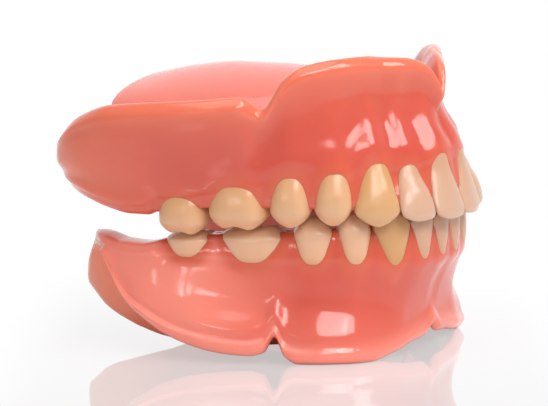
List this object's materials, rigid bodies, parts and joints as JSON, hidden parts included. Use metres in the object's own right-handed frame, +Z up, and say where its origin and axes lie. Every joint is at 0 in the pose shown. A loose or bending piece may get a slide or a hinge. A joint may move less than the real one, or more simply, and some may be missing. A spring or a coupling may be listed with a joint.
{
  "type": "full denture",
  "caption": "Upper and lower full denture of pink resin with bonded teeth, closed in the bite, with open ridge troughs, palate and tongue space.",
  "frame": {"origin": "middle of the set's width and depth, at the plane its lower borders stand on", "axes": "+X to the wearer's left, -Y to the front teeth, +Z up towards the palate; the left half mirrors the right one over x = 0"},
  "size_m": [0.0686, 0.0633, 0.049],
  "materials": {
    "gum_resin": "polished pink acrylic resin",
    "tooth_front": "polished ivory tooth resin",
    "tooth_canine": "polished tooth resin, yellower",
    "tooth_back": "polished tooth resin, warmer"
  },
  "bodies": {
    "root": {"upper_base": "gum_resin", "lower_base": "gum_resin", "upper_right_central_incisor": "tooth_front", "upper_right_lateral_incisor": "tooth_front", "upper_right_canine": "tooth_canine", "upper_right_first_premolar": "tooth_back", "upper_right_second_premolar": "tooth_back", "upper_right_first_molar": "tooth_back", "upper_right_second_molar": "tooth_back", "upper_left_central_incisor": "tooth_front", "upper_left_lateral_incisor": "tooth_front", "upper_left_canine": "tooth_canine", "upper_left_first_premolar": "tooth_back", "upper_left_second_premolar": "tooth_back", "upper_left_first_molar": "tooth_back", "upper_left_second_molar": "tooth_back", "lower_right_central_incisor": "tooth_front", "lower_right_lateral_incisor": "tooth_front", "lower_right_canine": "tooth_canine", "lower_right_first_premolar": "tooth_back", "lower_right_second_premolar": "tooth_back", "lower_right_first_molar": "tooth_back", "lower_right_second_molar": "tooth_back", "lower_left_central_incisor": "tooth_front", "lower_left_lateral_incisor": "tooth_front", "lower_left_canine": "tooth_canine", "lower_left_first_premolar": "tooth_back", "lower_left_second_premolar": "tooth_back", "lower_left_first_molar": "tooth_back", "lower_left_second_molar": "tooth_back"}
  },
  "joints": []
}
